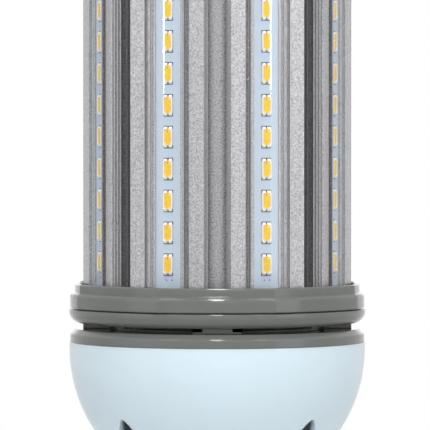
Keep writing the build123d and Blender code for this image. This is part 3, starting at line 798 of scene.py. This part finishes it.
def phosphor_finish():
    """Yellow silicone with a painted highlight in its low corners, paler at one high corner, with a brown
    dot on some.
    """
    finish = bpy.data.materials.new("phosphor")
    finish.use_nodes = True
    tree = finish.node_tree
    surface = tree.nodes["Principled BSDF"]
    surface.inputs["Roughness"].default_value = 0.3
    window = tree.nodes.new("ShaderNodeUVMap")
    window.uv_map = "window"
    place = tree.nodes.new("ShaderNodeTexCoord")
    grain = tree.nodes.new("ShaderNodeGroup")
    grain.node_tree = GRAIN
    grain.inputs["Scale"].default_value = 900.0
    grain.inputs["Spread"].default_value = 0.1
    grain.inputs["Colour"].default_value = linear(234, 190, 10)
    tree.links.new(place.outputs["Object"], grain.inputs["Vector"])
    colour = grain.outputs["Colour"]
    # Painted highlight: the window's two low corners are paled where the lamps glint on the phosphor.
    for side in (-1, 1):
        low_corner_highlight = spot(tree, window, (0.5 + side * 0.24, 0.02), 0.04, 0.17, 0.75)
        colour = tinted(tree, colour, low_corner_highlight, (250, 236, 190))
    high_patch = spot(tree, window, (0.66, 0.93), 0.03, 0.16, 0.7)
    colour = tinted(tree, colour, high_patch, (250, 230, 160))
    dot = spot(tree, window, (0.5, 0.87), 0.025, 0.05, 0.8)
    chance = tree.nodes.new("ShaderNodeTexNoise")
    chance.inputs["Scale"].default_value = 130.0
    some = tree.nodes.new("ShaderNodeMath")
    some.operation = "GREATER_THAN"
    some.inputs[1].default_value = 0.5
    dotted = tree.nodes.new("ShaderNodeMath")
    dotted.operation = "MULTIPLY"
    tree.links.new(place.outputs["Object"], chance.inputs["Vector"])
    tree.links.new(chance.outputs["Fac"], some.inputs[0])
    tree.links.new(some.outputs[0], dotted.inputs[0])
    tree.links.new(dot, dotted.inputs[1])
    colour = tinted(tree, colour, dotted.outputs[0], (150, 96, 24))
    tree.links.new(colour, surface.inputs["Base Color"])
    return finish


phosphor = phosphor_finish()

# %% Package sizes
LED_COUNT = 14
BOARD_FACE = 39.1 * MM
LED_WIDTH = 3.0 * MM
LED_LENGTH = 5.7 * MM
LED_HEIGHT = 0.7 * MM
BODY_LENGTH = 5.05 * MM
WINDOW_WIDTH = 2.45 * MM
WINDOW_LENGTH = 4.9 * MM
WINDOW_CORNER = 0.35 * MM
WINDOW_DEPTH = 0.15 * MM
PAD_WIDTH = 1.05 * MM
PAD_GAP = 0.55 * MM
PAD_REACH = 0.33 * MM
PAD_LAP = (LED_LENGTH - BODY_LENGTH) / 2 + 0.02 * MM
PAD_HEIGHT = 0.73 * MM
PAD_DROP = 0.4 * MM
PAD_REFLECTION_RIM = 0.26 * MM
RIM_HEIGHT = 0.03 * MM

row_low, row_high = (corner.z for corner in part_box("led_packages_1"))
LED_PITCH = (row_high - row_low - LED_LENGTH) / (LED_COUNT - 1)
print("package pitch", round(LED_PITCH / MM, 3), "mm")


# %% One package
PHOSPHOR_SLOT = 1
SOLDER_SLOT = 2
REFLECTION_AND_VIA_SLOT = 3


def block(shape, width, length, height, centre):
    """A box on the panel that faces +X: height along X, width along Y and length along Z."""
    made = bmesh.ops.create_cube(shape, size=1.0)
    grow = Matrix.Translation(centre) @ Matrix.Diagonal((height, width, length, 1.0))
    bmesh.ops.transform(shape, matrix=grow, verts=made["verts"])
    return made["verts"]


def paint(verts, slot):
    """Gives the faces of a block one of the row's finishes."""
    for face in {face for vert in verts for face in vert.link_faces}:
        face.material_index = slot


def add_package(shape, layer, centre_z):
    """A white frame, a sunk window with rounded corners, and four solder wedges on rims of painted dark
    reflection.
    """
    seat = BOARD_FACE + LED_HEIGHT / 2
    body = block(shape, LED_WIDTH, BODY_LENGTH, LED_HEIGHT, (seat, 0, centre_z))
    faces = {face for vert in body for face in vert.link_faces}
    front = max(faces, key=lambda face: face.calc_center_median().x)
    side_margin = (LED_WIDTH - WINDOW_WIDTH) / 2
    bmesh.ops.inset_region(shape, faces=[front], thickness=side_margin, use_even_offset=True)
    tall = BODY_LENGTH - 2 * side_margin
    squeeze = Matrix.Diagonal((1.0, 1.0, WINDOW_LENGTH / tall, 1.0))
    window_verts = list(front.verts)
    about = Matrix.Translation((0, 0, centre_z))
    bmesh.ops.transform(shape, matrix=about @ squeeze @ about.inverted(), verts=window_verts)
    bmesh.ops.bevel(
        shape,
        geom=window_verts,
        offset=WINDOW_CORNER,
        offset_type="OFFSET",
        segments=3,
        profile=0.5,
        affect="VERTICES",
        material=-1,
    )
    window = max(
        (face for face in shape.faces if abs(face.calc_center_median().z - centre_z) < 0.3 * MM),
        key=lambda face: (round(face.calc_center_median().x / MM, 3), len(face.verts)),
    )
    sunk = bmesh.ops.extrude_discrete_faces(shape, faces=[window])["faces"][0]
    bmesh.ops.translate(shape, verts=sunk.verts, vec=(-WINDOW_DEPTH, 0, 0))
    sunk.material_index = PHOSPHOR_SLOT
    for loop in sunk.loops:
        across = loop.vert.co.y / WINDOW_LENGTH + 0.5
        along = (loop.vert.co.z - centre_z) / WINDOW_LENGTH + 0.5
        loop[layer].uv = (across, along)
    pad_length = PAD_REACH + PAD_LAP
    pad_middle = BOARD_FACE + PAD_HEIGHT / 2
    for end in (-1, 1):
        for side in (-1, 1):
            across = side * (PAD_GAP + PAD_WIDTH) / 2
            along = centre_z + end * (LED_LENGTH + PAD_REACH - PAD_LAP) / 2
            wedge = block(shape, PAD_WIDTH, pad_length, PAD_HEIGHT, (pad_middle, across, along))
            outer_top = [
                vert for vert in wedge if (vert.co.z - along) * end > 0 and vert.co.x > pad_middle
            ]
            bmesh.ops.translate(shape, verts=outer_top, vec=(-PAD_DROP, 0, 0))
            paint(wedge, SOLDER_SLOT)
            # The thin dark plate under each wedge is a painted dark reflection of the solder fillet.
            under = (BOARD_FACE + RIM_HEIGHT / 2, across, along + end * PAD_REFLECTION_RIM / 2)
            reflection_rim = block(shape, PAD_WIDTH + 2 * PAD_REFLECTION_RIM, pad_length + PAD_REFLECTION_RIM, RIM_HEIGHT, under)
            paint(reflection_rim, REFLECTION_AND_VIA_SLOT)


# %% [markdown]
# Below the lowest package the board has two small plated holes. They are flat dots on its face.

# %% Rows of packages
VIA_WIDTH = 0.4 * MM
VIA_DROP = 1.9 * MM
VIA_PLACES = (-0.6 * MM, 1.2 * MM)
for panel in range(PANELS):
    shape = bmesh.new()
    layer = shape.loops.layers.uv.new("window")
    for place in range(LED_COUNT):
        add_package(shape, layer, row_low + LED_LENGTH / 2 + place * LED_PITCH)
    for across in VIA_PLACES:
        centre = (BOARD_FACE + RIM_HEIGHT / 2, across, row_low - VIA_DROP)
        paint(block(shape, VIA_WIDTH, VIA_WIDTH, RIM_HEIGHT, centre), REFLECTION_AND_VIA_SLOT)
    turned_to_panel(shape, panel)
    finished(
        shape,
        f"led_row_{panel + 1}",
        [package_white, phosphor, solder, pad_reflection_and_via_dark],
        f"led_packages_{panel + 1}",
        smooth_below=35.0,
    )
print("rows:", PANELS, "packages in each:", LED_COUNT)
